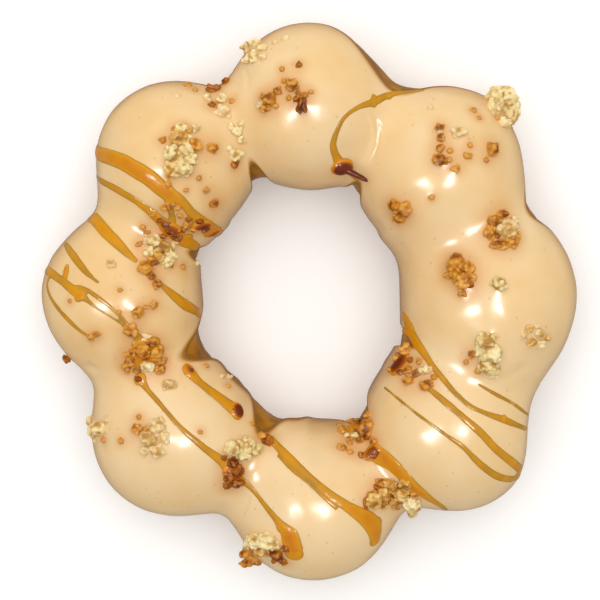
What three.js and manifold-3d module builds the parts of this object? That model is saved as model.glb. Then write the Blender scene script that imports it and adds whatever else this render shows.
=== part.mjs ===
// A mochi doughnut: eight uneven balls of fried dough grown into one ring. Its upper half is
// dipped in a pale glaze, which carries strands of caramel and clumps of cookie crumble.
// Millimetres, +Z up; the doughnut lies on z = 0 with the middle of its bounding box on the Z axis.

import * as THREE from "three";
import { mergeVertices } from "three/addons/utils/BufferGeometryUtils.js";
import Module from "manifold-3d";

const solids = await Module();
solids.setup();

// ---------------------------------------------------------------- driving dimensions

// One row a ball, clockwise from the top of the ring. bearing is in degrees from +X and reach is
// the distance from the ring's middle. deep, wide and tall are half sizes over the glaze: along
// the reach, across it and upwards. ease is how softly the ball runs into the next one.
// outerRise and innerRise are how far the glaze's rim climbs in the groove after the ball, in
// degrees round the section, on the outside of the ring and in its hole.
const BALLS = [
  { bearing: 90.5, reach: 32.9, deep: 13.6, wide: 12.8, tall: 13.3, ease: 3.2, outerRise: 62, innerRise: 58 },
  { bearing: 46.0, reach: 30.9, deep: 14.0, wide: 12.8, tall: 13.4, ease: 4.3, outerRise: 56, innerRise: 22 },
  { bearing: 0.7, reach: 30.5, deep: 14.4, wide: 14.2, tall: 14.0, ease: 3.7, outerRise: 8, innerRise: 60 },
  { bearing: -42.5, reach: 31.9, deep: 14.9, wide: 14.4, tall: 13.9, ease: 1.9, outerRise: 8, innerRise: 58 },
  { bearing: -88.5, reach: 34.2, deep: 14.2, wide: 12.9, tall: 13.3, ease: 4.1, outerRise: 5, innerRise: 58 },
  { bearing: -134.7, reach: 32.4, deep: 14.0, wide: 13.3, tall: 13.5, ease: 3.5, outerRise: 5, innerRise: 72 },
  { bearing: 179.0, reach: 31.8, deep: 13.3, wide: 12.8, tall: 13.1, ease: 3.9, outerRise: 50, innerRise: 64 },
  { bearing: 133.3, reach: 32.6, deep: 13.1, wide: 12.8, tall: 13.2, ease: 3.0, outerRise: 58, innerRise: 64 },
];

const GLAZE_THICKNESS = 1.2;
const GLAZE_LEAST = 1.0; // the thinnest the glaze gets anywhere
const GLAZE_GAP = 0.45; // between the dough and the glaze on it
const BOTTOM_FLAT = 0.8; // how much of each ball's foot is pressed flat
const DOUGH_FULLNESS = 2.0; // how much is added to ease where the dough shows in a groove
const FULL_RISE = 62; // the rim's climb that bares a groove
const GROOVE_WIDTH = 10; // half width of a groove, degrees round the ring

const RIM_ANGLE = -15; // degrees below the level of a ball's middle where the glaze ends
const RIM_WAVE = 4; // degrees the rim wanders up and down
const OUTER_GROOVE = 7.5; // half width of a rim's climb in an outer groove, degrees round the ring
const INNER_GROOVE = 8; // the same in the hole

const STEPS_PER_HALF_BALL = 6;
const DOUGH_SIDES = 16;
const GLAZE_OUTER_SIDES = 13;
const GLAZE_INNER_SIDES = 10;

// The caramel: each strand's width and its path over the ring in plan.
const STRAND_HEIGHT = 0.55;
const STRAND_ROOT = 0.6; // how deep a strand is set into the glaze
const STRAND_STEP = 4.2;
const STRANDS = [
  { width: 1.9, path: [[-35, 25.5], [-30, 24.5], [-23.5, 19], [-18, 14]] },
  { width: 1.0, path: [[-34.5, 20.5], [-27.5, 17.5], [-22.5, 13], [-19.5, 11]] },
  { width: 1.7, path: [[-36, 13.5], [-33, 11.5], [-28, 8.5]] },
  { width: 1.1, path: [[-40.5, 9.5], [-38, 7.5], [-34, 4.5]] },
  { width: 1.5, path: [[-42.5, 5], [-37.5, 2.5], [-31, -1.5], [-27, -6]] },
  { width: 0.9, path: [[-43, 3.5], [-42.5, 1], [-40.5, -1], [-36, -4.5]] },
  { width: 1.5, path: [[-25, 4], [-22.5, 2], [-18.5, -2]] },
  { width: 1.2, path: [[-28, -12], [-22, -18], [-15, -24.5], [-10, -30], [-5.5, -34], [-2, -39]] },
  { width: 1.7, path: [[-20, -11], [-15.5, -14], [-12, -17.5]] },
  { width: 2.2, path: [[-6.5, -22.5], [-2, -26], [5.5, -32.5], [11, -39.5]] },
  { width: 1.3, path: [[16, -2.5], [17.5, -4], [22, -11], [28, -16.5], [36, -20.5]] },
  { width: 1.4, path: [[19.5, -13], [26.5, -19], [34.5, -27]] },
  { width: 1.0, path: [[33.5, -28.5], [26.5, -23.5], [18.5, -17.5], [12.5, -14]] },
  { width: 1.7, path: [[11, -24.5], [17.5, -29.5], [21.5, -32.5]] },
  { width: 1.1, path: [[15.5, 35], [10, 34], [5, 31], [3.5, 26.5], [7.5, 21]] },
];

// The cookie crumble: where each clump lies in plan, how far it reaches across and how many
// chunks it has. z is given where the clump hangs at the ring's edge.
const CLUMPS = [
  { at: [-21, 26], across: 7.5, chunks: 6 },
  { at: [32, 33, 14], across: 8, chunks: 5 },
  { at: [14.5, -32.5], across: 7.5, chunks: 6 },
  { at: [32, 13], across: 4.6, chunks: 2 },
  { at: [24.5, 6.5], across: 5.2, chunks: 3 },
  { at: [15, 16], across: 3.6, chunks: 1 },
  { at: [29, -7.5], across: 6, chunks: 4 },
  { at: [37, -4], across: 4.4, chunks: 3 },
  { at: [-25, 9.5], across: 5.5, chunks: 4 },
  { at: [-25.5, -21.5], across: 5.2, chunks: 3 },
  { at: [-11.5, -24], across: 4.6, chunks: 3 },
  { at: [-12.5, -27.5], across: 3, chunks: 1 },
  { at: [-7.5, -40.5], across: 6, chunks: 4 },
  { at: [-10, -42.5, 12], across: 3.6, chunks: 1 },
  { at: [-28, -7], across: 5.5, chunks: 4 },
  { at: [17, -9.5], across: 4.5, chunks: 3 },
  { at: [8.5, -23.5], across: 4, chunks: 3 },
  { at: [-12, 29], across: 2.2, chunks: 1 },
  { at: [-12.5, 26], across: 2.2, chunks: 1 },
  { at: [-14, 32.5], across: 1.8, chunks: 1 },
  { at: [-9.5, 42], across: 2.4, chunks: 1 },
  { at: [-36, -21.5, 11], across: 2.4, chunks: 1 },
  { at: [-40.5, -9.5, 12], across: 2.4, chunks: 1 },
  { at: [21.5, 28.5], across: 1.9, chunks: 1 },
  { at: [21.5, 24.5], across: 1.5, chunks: 1 },
  { at: [-2.5, 36.5], across: 1.7, chunks: 1 },
  { at: [-6, 34.5], across: 1.7, chunks: 1 },
];
const CRUMB_SEED = 20;
const CRUMB_ROUGHNESS = 0.18; // share of its radius that a crumb's corners wander
const SMALL_CRUMB = 2.6; // clumps less than this across are made of ten-sided bits
const CHUNK_SEAT = 0.55; // height of a chunk's middle over the glaze, as a share of its radius
const SMALL_SEAT = 0.25; // the same for a ten-sided bit

// ---------------------------------------------------------------- the form of the ring

const rad = THREE.MathUtils.degToRad;

// The signed turn from bearing b to bearing a, in degrees between -180 and 180.
function turn(a, b) {
  return THREE.MathUtils.euclideanModulo(a - b + 180, 360) - 180;
}

// The bearing halfway between a ball and the next one round.
function grooveAfter(index) {
  const here = BALLS[index].bearing;
  const next = BALLS[(index + 1) % BALLS.length].bearing;
  return here + turn(next, here) / 2;
}

// Mixes one value a groove into a smooth value for any bearing.
function mixGrooves(bearing, valueOf) {
  const width = 12;
  let sum = 0;
  let weights = 0;
  BALLS.forEach((ball, index) => {
    const weight = Math.exp(-((turn(bearing, grooveAfter(index)) / width) ** 2)) + 1e-6;
    sum += weight * valueOf(ball);
    weights += weight;
  });
  return sum / weights;
}

const middleHeight = (ball) => ball.tall - GLAZE_THICKNESS - GLAZE_GAP - BOTTOM_FLAT;

// Distance from a point to one ball's surface, negative inside, with the ball's half sizes
// reduced by inset. It is exact for a round ball and close for these.
function ballDistance(ball, point, inset) {
  const c = Math.cos(rad(ball.bearing));
  const s = Math.sin(rad(ball.bearing));
  const x = point.x - ball.reach * c;
  const y = point.y - ball.reach * s;
  const offset = new THREE.Vector3(x * c + y * s, y * c - x * s, point.z - middleHeight(ball));
  const half = new THREE.Vector3(ball.deep - inset, ball.wide - inset, ball.tall - inset);
  const scaled = offset.clone().divide(half);
  const slope = scaled.clone().divide(half).length();
  const level = scaled.length();
  return (level * (level - 1)) / Math.max(slope, 1e-6);
}

// How bare of glaze a place by the ring is: up to 1 in a groove whose rim climbs on that side,
// and nothing at its foot.
function bareness(point, bearing) {
  const index = BALLS.reduce(
    (best, ball, i) =>
      Math.abs(turn(bearing, grooveAfter(i))) < Math.abs(turn(bearing, grooveAfter(best))) ? i : best,
    0,
  );
  const { outerRise, innerRise, reach } = BALLS[index];
  const outside = THREE.MathUtils.smoothstep(Math.hypot(point.x, point.y), reach - 6, reach + 6);
  const rise = THREE.MathUtils.lerp(innerRise, outerRise, outside) / FULL_RISE;
  const overFoot = THREE.MathUtils.smoothstep(point.z, 1, 9);
  return rise * overFoot * Math.exp(-((turn(bearing, grooveAfter(index)) / GROOVE_WIDTH) ** 2));
}

// Distance to the whole ring: the distances to the balls nearby, blended so that the grooves
// between them are rounded out, and more so with fullness where they are bare.
function ringDistance(point, inset, fullness) {
  const bearing = THREE.MathUtils.radToDeg(Math.atan2(point.y, point.x));
  const ease = mixGrooves(bearing, (ball) => ball.ease) + fullness * bareness(point, bearing);
  let least = Infinity;
  const near = [];
  for (const ball of BALLS) {
    const share = 1 - THREE.MathUtils.smoothstep(Math.abs(turn(bearing, ball.bearing)), 50, 85);
    if (share === 0) continue;
    const distance = ballDistance(ball, point, inset);
    near.push({ share, distance });
    least = Math.min(least, distance);
  }
  const sum = near.reduce((total, b) => total + b.share * Math.exp((least - b.distance) / ease), 0);
  return least - ease * Math.log(sum);
}

function doughDistance(point) {
  return ringDistance(point, GLAZE_THICKNESS + GLAZE_GAP, DOUGH_FULLNESS);
}

// The glaze follows the balls' full sizes, but stays thick enough where the dough comes near.
function glazeDistance(point) {
  return Math.min(ringDistance(point, 0, 0), doughDistance(point) - GLAZE_GAP - GLAZE_LEAST);
}

// Outward direction of the glazed surface at a point.
function glazeNormal(point) {
  const step = 0.05;
  const normal = new THREE.Vector3();
  for (const axis of ["x", "y", "z"]) {
    const ahead = point.clone();
    const behind = point.clone();
    ahead[axis] += step;
    behind[axis] -= step;
    normal[axis] = glazeDistance(ahead) - glazeDistance(behind);
  }
  return normal.normalize();
}

// The bearings of the ring's cross-sections, closer together towards the grooves.
function sectionBearings() {
  const bearings = [];
  BALLS.forEach((ball, index) => {
    const before = grooveAfter((index + BALLS.length - 1) % BALLS.length);
    const after = grooveAfter(index);
    for (let i = 0; i < STEPS_PER_HALF_BALL; i++) {
      const share = (i / STEPS_PER_HALF_BALL) ** 1.25;
      bearings.push(before + turn(ball.bearing, before) * share);
    }
    for (let i = STEPS_PER_HALF_BALL; i > 0; i--) {
      const share = (i / STEPS_PER_HALF_BALL) ** 1.25;
      bearings.push(after + turn(ball.bearing, after) * share);
    }
  });
  return bearings;
}

// The line of the balls' middles, from which each cross-section is measured.
function corePoint(bearing) {
  let reach = 0;
  let height = 0;
  let weights = 0;
  for (const ball of BALLS) {
    const weight = Math.exp(-((turn(bearing, ball.bearing) / 20) ** 2));
    reach += weight * ball.reach;
    height += weight * middleHeight(ball);
    weights += weight;
  }
  const r = reach / weights;
  return new THREE.Vector3(r * Math.cos(rad(bearing)), r * Math.sin(rad(bearing)), height / weights);
}

// A direction in a cross-section: 0 points away from the ring's middle, 90 up, 180 into the hole.
function sectionDirection(bearing, angle) {
  const level = Math.cos(rad(angle));
  return new THREE.Vector3(
    level * Math.cos(rad(bearing)),
    level * Math.sin(rad(bearing)),
    Math.sin(rad(angle)),
  );
}

// How far from the core the given distance reaches zero.
function radiusAt(core, direction, distance) {
  let inside = 0;
  let outside = 20;
  for (let i = 0; i < 30; i++) {
    const middle = (inside + outside) / 2;
    if (distance(core.clone().addScaledVector(direction, middle)) < 0) inside = middle;
    else outside = middle;
  }
  return inside;
}

// Closes a row of sections, each a closed loop with the same number of points, into one skin.
// Each four-sided cell is split along its shorter diagonal.
function loftRing(sections) {
  const count = sections[0].length;
  const positions = sections.flat().flatMap((p) => [p.x, p.y, p.z]);
  const index = [];
  sections.forEach((section, i) => {
    const nextSection = sections[(i + 1) % sections.length];
    const here = i * count;
    const there = ((i + 1) % sections.length) * count;
    for (let j = 0; j < count; j++) {
      const k = (j + 1) % count;
      const [a, b, c, d] = [here + j, here + k, there + k, there + j];
      const ac = section[j].distanceTo(nextSection[k]);
      const bd = section[k].distanceTo(nextSection[j]);
      if (ac < bd) index.push(a, b, c, a, c, d);
      else index.push(a, b, d, b, c, d);
    }
  });
  const geometry = new THREE.BufferGeometry();
  geometry.setAttribute("position", new THREE.Float32BufferAttribute(positions, 3));
  geometry.setIndex(index);
  return geometry;
}

// ---------------------------------------------------------------- dough

// The browned ring under the glaze, with its feet pressed flat where it lies.
function doughGeometry() {
  const distance = (point) => Math.max(doughDistance(point), -point.z);
  const sections = sectionBearings().map((bearing) => {
    const core = corePoint(bearing);
    const loop = [];
    for (let i = 0; i < DOUGH_SIDES; i++) {
      const direction = sectionDirection(bearing, (360 * (i + 0.5)) / DOUGH_SIDES);
      loop.push(core.clone().addScaledVector(direction, radiusAt(core, direction, distance)));
    }
    return loop;
  });
  return loftRing(sections);
}

// ---------------------------------------------------------------- glaze

// Where the glaze ends in a cross-section: its angle outside the ring and in the hole.
function rimAngles(bearing) {
  let outer = RIM_ANGLE + RIM_WAVE * Math.sin(rad(3 * bearing + 40));
  let inner = RIM_ANGLE + RIM_WAVE * Math.sin(rad(2 * bearing - 70));
  BALLS.forEach((ball, index) => {
    const away = turn(bearing, grooveAfter(index));
    outer += ball.outerRise * Math.exp(-((away / OUTER_GROOVE) ** 2));
    inner += ball.innerRise * Math.exp(-((away / INNER_GROOVE) ** 2));
  });
  return [outer, 180 - inner];
}

// A skin over the upper half: out over the top from rim to rim, round the lip and back beneath.
function glazeShellGeometry() {
  const under = (point) => doughDistance(point) - GLAZE_GAP;
  const sections = sectionBearings().map((bearing) => {
    const core = corePoint(bearing);
    const [start, end] = rimAngles(bearing);
    const pointAt = (angle, layer) => {
      const direction = sectionDirection(bearing, angle);
      const below = radiusAt(core, direction, under);
      const above = radiusAt(core, direction, glazeDistance);
      return core.clone().addScaledVector(direction, below + (above - below) * layer);
    };
    const lip = THREE.MathUtils.radToDeg(GLAZE_THICKNESS / 2 / 11);
    const loop = [pointAt(start - lip, 0.4)];
    for (let i = 0; i < GLAZE_OUTER_SIDES; i++) {
      const layer = i === 0 || i === GLAZE_OUTER_SIDES - 1 ? 0.92 : 1;
      loop.push(pointAt(start + ((end - start) * i) / (GLAZE_OUTER_SIDES - 1), layer));
    }
    loop.push(pointAt(end + lip, 0.4));
    for (let i = GLAZE_INNER_SIDES - 1; i >= 0; i--) {
      loop.push(pointAt(start + ((end - start) * i) / (GLAZE_INNER_SIDES - 1), 0));
    }
    return loop;
  });
  return loftRing(sections);
}

// Moves a point straight off the glaze's surface until it stands the given height over it.
function seatAt(point, height) {
  const seated = point.clone();
  for (let i = 0; i < 12; i++) {
    seated.addScaledVector(glazeNormal(seated), height - glazeDistance(seated));
  }
  return seated;
}

// The glaze's surface straight below a place in plan, or the nearest to it beside the ring.
function surfaceBelow(x, y) {
  const point = new THREE.Vector3(x, y, 30);
  while (point.z > 10) {
    const distance = glazeDistance(point);
    if (distance < 0.001) return point;
    point.z -= Math.max(distance * 0.5, 0.01);
  }
  return seatAt(point, 0);
}

// ---------------------------------------------------------------- caramel

// A strand's section: a low dome whose foot is set into the glaze. Across in half widths, up in mm.
const STRAND_SECTION = [
  [-0.8, -STRAND_ROOT],
  [0.8, -STRAND_ROOT],
  [1, 0.05],
  [0, STRAND_HEIGHT],
  [-1, 0.05],
];

// One strand laid over the glaze along its path, narrowed at both ends.
function strandGeometry({ width, path }) {
  const plan = path.map(([x, y]) => new THREE.Vector3(x, y, 0));
  const curve = new THREE.CatmullRomCurve3(plan, false, "centripetal");
  const steps = Math.max(2, Math.round(curve.getLength() / STRAND_STEP));
  const line = curve.getSpacedPoints(steps).map((p) => surfaceBelow(p.x, p.y));
  const count = STRAND_SECTION.length;
  const positions = [];
  line.forEach((point, i) => {
    const along = line[Math.min(i + 1, steps)].clone().sub(line[Math.max(i - 1, 0)]).normalize();
    const up = glazeNormal(point);
    const side = new THREE.Vector3().crossVectors(along, up).normalize();
    const half = (width / 2) * (i === 0 || i === steps ? 0.55 : 1);
    for (const [across, height] of STRAND_SECTION) {
      const corner = point.clone().addScaledVector(side, across * half).addScaledVector(up, height);
      positions.push(...corner.toArray());
    }
  });
  const index = [];
  for (let i = 0; i < steps; i++) {
    for (let j = 0; j < count; j++) {
      const k = (j + 1) % count;
      const [a, b] = [i * count + j, i * count + k];
      index.push(a, a + count, b, b, a + count, b + count);
    }
  }
  const last = steps * count;
  for (let j = 1; j < count - 1; j++) {
    index.push(0, j, j + 1);
    index.push(last, last + j + 1, last + j);
  }
  const geometry = new THREE.BufferGeometry();
  geometry.setAttribute("position", new THREE.Float32BufferAttribute(positions, 3));
  geometry.setIndex(index);
  return geometry;
}

// ---------------------------------------------------------------- crumble

// Repeatable random numbers from 0 to 1.
function randomFrom(seed) {
  let state = seed;
  return () => {
    state = (state + 0x6d2b79f5) | 0;
    let t = Math.imul(state ^ (state >>> 15), 1 | state);
    t = (t + Math.imul(t ^ (t >>> 7), 61 | t)) ^ t;
    return ((t ^ (t >>> 14)) >>> 0) / 4294967296;
  };
}

// One broken bit of cookie about its own middle, its corners pulled in and out.
function crumbGeometry(radius, small, random) {
  const body = small
    ? new THREE.SphereGeometry(radius, 5, 2)
    : new THREE.IcosahedronGeometry(radius, 0);
  body.deleteAttribute("normal");
  body.deleteAttribute("uv");
  const geometry = mergeVertices(body, 1e-3);
  const position = geometry.attributes.position;
  for (let i = 0; i < position.count; i++) {
    const stretch = 1 + CRUMB_ROUGHNESS * (2 * random() - 1);
    position.setXYZ(
      i,
      position.getX(i) * stretch,
      position.getY(i) * stretch,
      position.getZ(i) * stretch,
    );
  }
  geometry.rotateX(random() * 3);
  geometry.rotateY(random() * 3);
  return geometry;
}

// The chunks of one clump: the first in the middle, the others round it.
function clumpGeometries({ at, across, chunks }, random) {
  const middle = at.length === 3 ? new THREE.Vector3(...at) : surfaceBelow(...at);
  const up = glazeNormal(seatAt(middle, 0));
  const side = new THREE.Vector3(1, 0, 0).cross(up).normalize();
  const other = up.clone().cross(side);
  const small = across < SMALL_CRUMB;
  const size = chunks === 1 ? across / 2 : (across / 2) * 0.52;
  const first = random() * 2 * Math.PI;
  const bits = [];
  for (let i = 0; i < chunks; i++) {
    const radius = size * (0.85 + 0.3 * random());
    const out = chunks === 1 ? 0 : (across / 2 - size) * (i === 0 ? 0.2 : 0.75 + 0.25 * random());
    const angle = first + (2 * Math.PI * i) / Math.max(chunks - 1, 1);
    const place = middle
      .clone()
      .addScaledVector(side, out * Math.cos(angle))
      .addScaledVector(other, out * Math.sin(angle));
    const seat = seatAt(place, radius * (small ? SMALL_SEAT : CHUNK_SEAT));
    const bit = crumbGeometry(radius, small, random);
    bit.translate(seat.x, seat.y, seat.z);
    bits.push(bit);
  }
  return bits;
}

// ---------------------------------------------------------------- joining

// A closed geometry as a solid that can be joined.
function solidOf(geometry) {
  const body = new solids.Manifold(
    new solids.Mesh({
      numProp: 3,
      vertProperties: Float32Array.from(geometry.attributes.position.array),
      triVerts: Uint32Array.from(geometry.index.array),
    }),
  );
  if (body.volume() <= 0) throw new Error("a piece is inside out");
  return body;
}

function geometryOf(body) {
  const mesh = body.getMesh();
  const geometry = new THREE.BufferGeometry();
  geometry.setAttribute("position", new THREE.BufferAttribute(mesh.vertProperties, 3));
  geometry.setIndex(new THREE.BufferAttribute(mesh.triVerts, 1));
  return geometry;
}

// The joined body's outer skin, which fills the pinhead pockets between chunks that touch.
function withoutPockets(body) {
  const skins = body.decompose().sort((a, b) => b.volume() - a.volume());
  if (skins.length > 1 && skins[1].volume() > 0) {
    throw new Error("a crumb hangs in the air at " + skins[1].boundingBox().min.join(", "));
  }
  return skins[0];
}

// The glaze's shell with the caramel and the crumble grown onto it.
function icingGeometry() {
  const random = randomFrom(CRUMB_SEED);
  const pieces = [solidOf(glazeShellGeometry())];
  for (const strand of STRANDS) pieces.push(solidOf(strandGeometry(strand)));
  for (const clump of CLUMPS) {
    for (const bit of clumpGeometries(clump, random)) pieces.push(solidOf(bit));
  }
  return geometryOf(withoutPockets(solids.Manifold.union(pieces)));
}

// ---------------------------------------------------------------- materials and nodes

const doughMaterial = () =>
  new THREE.MeshStandardMaterial({ name: "fried_dough", color: "#a86f2a", roughness: 0.6 });

const icingMaterial = () =>
  new THREE.MeshStandardMaterial({ name: "glaze", color: "#eccb96", roughness: 0.25 });

function node(name, geometry, material) {
  geometry.computeVertexNormals();
  const mesh = new THREE.Mesh(geometry, material);
  mesh.name = name;
  return mesh;
}

// Centres the ring's bounding box on the Z axis; it already stands on z = 0.
function centred(group) {
  const box = new THREE.Box3().setFromObject(group, true);
  const middle = box.getCenter(new THREE.Vector3());
  group.position.set(-middle.x, -middle.y, 0);
  return group;
}

const doughnut = new THREE.Group();
doughnut.name = "mochi_doughnut";
doughnut.add(node("dough", doughGeometry(), doughMaterial()));
doughnut.add(node("icing", icingGeometry(), icingMaterial()));

export default centred(doughnut);
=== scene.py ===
# %% [markdown]
# # A mochi doughnut
# Eight balls of sticky rice-flour dough are piped side by side in a ring and fried, so they grow
# together. The cooled ring is dipped upside down in a pale glaze, then caramel is flicked over it
# and cookie crumble falls on the wet top. This lesson makes the four things one after another:
# the dough, the glaze over it, the caramel on the glaze and the crumble that sticks in both.
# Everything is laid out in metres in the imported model's own frame.

# %% Load the frame
import math

import bpy
import numpy as np
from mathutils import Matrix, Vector
from mathutils.bvhtree import BVHTree


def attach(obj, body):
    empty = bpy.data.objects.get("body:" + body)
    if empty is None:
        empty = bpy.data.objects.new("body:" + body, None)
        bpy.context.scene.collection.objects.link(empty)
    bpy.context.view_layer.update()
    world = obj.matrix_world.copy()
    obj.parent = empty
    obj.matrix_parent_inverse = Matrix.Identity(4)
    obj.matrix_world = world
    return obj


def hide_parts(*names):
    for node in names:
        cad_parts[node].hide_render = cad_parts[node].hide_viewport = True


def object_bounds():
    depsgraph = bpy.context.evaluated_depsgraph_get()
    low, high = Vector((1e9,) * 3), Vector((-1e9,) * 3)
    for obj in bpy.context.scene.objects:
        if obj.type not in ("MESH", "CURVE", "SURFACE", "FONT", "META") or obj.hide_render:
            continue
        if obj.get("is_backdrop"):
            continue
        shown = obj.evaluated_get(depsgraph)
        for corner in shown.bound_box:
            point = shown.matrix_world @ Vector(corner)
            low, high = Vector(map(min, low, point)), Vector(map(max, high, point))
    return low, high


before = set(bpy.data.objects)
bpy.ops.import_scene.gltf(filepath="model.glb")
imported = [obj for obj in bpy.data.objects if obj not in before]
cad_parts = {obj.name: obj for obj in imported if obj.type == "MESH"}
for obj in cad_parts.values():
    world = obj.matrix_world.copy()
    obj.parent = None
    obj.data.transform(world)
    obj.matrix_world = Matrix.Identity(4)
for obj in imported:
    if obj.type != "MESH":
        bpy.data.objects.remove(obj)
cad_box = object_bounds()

MM = 0.001
print("the packed doughnut measures", [round((b - a) / MM, 1) for a, b in zip(*cad_box)], "mm")


# %% [markdown]
# ## How the work is done
# Operators act on whatever is selected, so each step first deselects everything and picks its
# own objects. Shapes are easier to think about in millimetres than in metres, so two helpers
# read an object's points in millimetres and put them back.

# %% Small helpers
def only(*pieces):
    if bpy.context.object and bpy.context.object.mode != "OBJECT":
        bpy.ops.object.mode_set(mode="OBJECT")
    bpy.ops.object.select_all(action="DESELECT")
    for piece in pieces:
        piece.select_set(True)
    bpy.context.view_layer.objects.active = pieces[0]


def at_every_point(piece, what):
    flat = np.empty(len(piece.data.vertices) * 3, np.float32)
    piece.data.vertices.foreach_get(what, flat)
    return flat.reshape(-1, 3).astype(float)


def points_of(piece):
    return at_every_point(piece, "co") / MM


def put_points(piece, points):
    piece.data.vertices.foreach_set("co", (points * MM).astype(np.float32).ravel())
    piece.data.update()


def settle_place(piece):
    only(piece)
    bpy.ops.object.transform_apply(location=True, rotation=True, scale=True)


def finish_modifier(piece, kind, **settings):
    only(piece)
    modifier = piece.modifiers.new(kind.title(), kind)
    for key, value in settings.items():
        setattr(modifier, key, value)
    bpy.ops.object.modifier_apply(modifier=modifier.name)


def report(piece):
    faces = sum(len(p.vertices) - 2 for p in piece.data.polygons)
    size = [round(v / MM, 1) for v in piece.dimensions]
    print(f"{piece.name}: {faces} triangles, {size} mm")


# %% [markdown]
# ## The ring of balls
# No two balls came out alike, so each has its own place and size, measured from the outline: the
# bearing round the ring, how far out it lies, its half sizes outwards, sideways and upwards, and
# how softly it runs into the next ball inside and outside the ring. A ball's surface is where its
# distance is zero. Blending the distances of neighbours gives the rounded grooves of real dough,
# which neither overlapping spheres nor smoothing them would. One ball has a flattened outer side.

# %% The eight balls
RING_MIDDLE = np.array([0.103, 0.911, 0.0])
BALLS = np.array([
    # bearing, reach, deep, wide, tall, ease inside, ease outside: degrees, then mm
    [90.5, 32.55, 13.95, 12.9, 13.3, 2.2, 4.2],
    [46.0, 30.8, 14.2, 12.9, 13.4, 3.7, 4.4],
    [0.7, 30.4, 14.45, 15.1, 14.0, 3.7, 3.8],
    [-42.5, 32.1, 14.85, 13.4, 13.9, 3.0, 3.4],
    [-88.5, 34.6, 13.7, 13.6, 13.3, 4.6, 3.4],
    [-134.7, 32.3, 14.0, 13.7, 13.5, 4.2, 4.2],
    [179.0, 31.8, 13.2, 12.5, 13.1, 4.0, 4.7],
    [133.3, 32.35, 13.4, 12.5, 13.2, 1.9, 3.5],
])
BEARING, REACH, DEEP, WIDE, TALL, EASE_INSIDE, EASE_OUTSIDE = BALLS.T
PRESSED = 2.45  # mm of each ball that would lie under the floor, were it not pressed flat
MIDDLE_HEIGHT = TALL - PRESSED
FLAT_BALL, FLAT_SIDE = 3, 36.9  # the ball with a flattened side and how far out that side is


def turn(a, b):
    return (a - b + 180) % 360 - 180


GROOVE = BEARING + turn(np.roll(BEARING, -1), BEARING) / 2
print("the grooves lie at", GROOVE.round(1))

# %% Distances to the blended balls
INSIDE_TO, OUTSIDE_FROM = 26, 38  # mm from the ring's middle: its inner and its outer side
GROOVE_WIDTH = 12  # degrees within which a groove's own easing holds
FADE_FROM, FADE_TO = 50, 85  # degrees from its bearing at which a ball fades out of the blend
MOST = 50  # keeps the exponential small where a ball has no share


def smoothstep(x, low, high):
    t = np.clip((x - low) / (high - low), 0, 1)
    return t * t * (3 - 2 * t)


def ring_plan(points):
    x, y = points[:, 0] - RING_MIDDLE[0], points[:, 1] - RING_MIDDLE[1]
    return x, y, np.degrees(np.arctan2(y, x))


def outsideness(x, y):
    return smoothstep(np.hypot(x, y), INSIDE_TO, OUTSIDE_FROM)


def nearness(bearing, places, width, least=0.0):
    weight = np.exp(-(turn(bearing[:, None], places) / width) ** 2) + least
    return weight / weight.sum(1, keepdims=True)


def ball_distances(points, x, y):
    cos, sin = np.cos(np.radians(BEARING)), np.sin(np.radians(BEARING))
    dx, dy = x[:, None] - REACH * cos, y[:, None] - REACH * sin
    off = np.stack([dx * cos + dy * sin, dy * cos - dx * sin, points[:, 2:3] - MIDDLE_HEIGHT], 2)
    half = np.stack([DEEP, WIDE, TALL], 1)
    scaled = off / half
    level = np.linalg.norm(scaled, axis=2)
    slope = np.linalg.norm(scaled / half, axis=2)
    distance = level * (level - 1) / np.maximum(slope, 1e-6)
    distance[:, FLAT_BALL] = np.logaddexp(distance[:, FLAT_BALL], points[:, 0] - FLAT_SIDE)
    return distance


def glaze_distance(points):
    x, y, bearing = ring_plan(points)
    weight = nearness(bearing, GROOVE, GROOVE_WIDTH, 1e-6)
    outside = outsideness(x, y)
    ease = weight @ EASE_INSIDE * (1 - outside) + weight @ EASE_OUTSIDE * outside
    distance = ball_distances(points, x, y)
    share = 1 - smoothstep(np.abs(turn(bearing[:, None], BEARING)), FADE_FROM, FADE_TO)
    least = np.where(share > 0, distance, 1e9).min(1)
    total = (share * np.exp(np.minimum((least[:, None] - distance) / ease[:, None], MOST))).sum(1)
    return least - ease * np.log(total)


gap = glaze_distance(RING_MIDDLE[None])[0]
print("from the middle of the hole to the glaze:", round(gap, 1), "mm")

# %% [markdown]
# The glaze ends lower than each ball's widest level, but it draws up where it ran off: in most
# grooves, and along a few shoulders. Each row below is one such place: its bearing, half its
# width and how far the glaze draws up, all in degrees. There the dough is bare and comes nearer
# to the glaze's surface.

# %% Where the glaze draws up
RISES_OUTSIDE = [(68.2, 8, 46), (77, 8, 32), (87, 7, 12), (55, 9, 20), (23.3, 7, 40),
                 (156.2, 7, 34), (111.9, 7, 40), (-20.9, 8, 10), (-65.5, 8, 14),
                 (-111.6, 8, 10), (-157.8, 8, 10)]
RISES_INSIDE = [(68.2, 6, 40), (23.3, 7, 14), (-20.9, 8, 44), (-65.5, 7.5, 44),
                (-111.6, 9, 42), (-157.8, 9, 46), (-134.7, 15, 26), (-171, 9, 22), (-94, 9, 18),
                (156.2, 7, 46), (111.9, 5, 56)]
FULL_RISE = 62  # degrees
COAT = 0.95  # mm, how deep the dough lies under the glaze
LOST_INSIDE, LOST_OUTSIDE = 0.65, 0.6  # mm less of it where the glaze is drawn up in full
LOST_FROM, LOST_ABOVE = 1, 9  # mm from the floor, between which that loss begins and is full


def drawn_up(bearing, rises):
    return sum(up * np.exp(-(turn(bearing, at) / width) ** 2) for at, width, up in rises)


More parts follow.
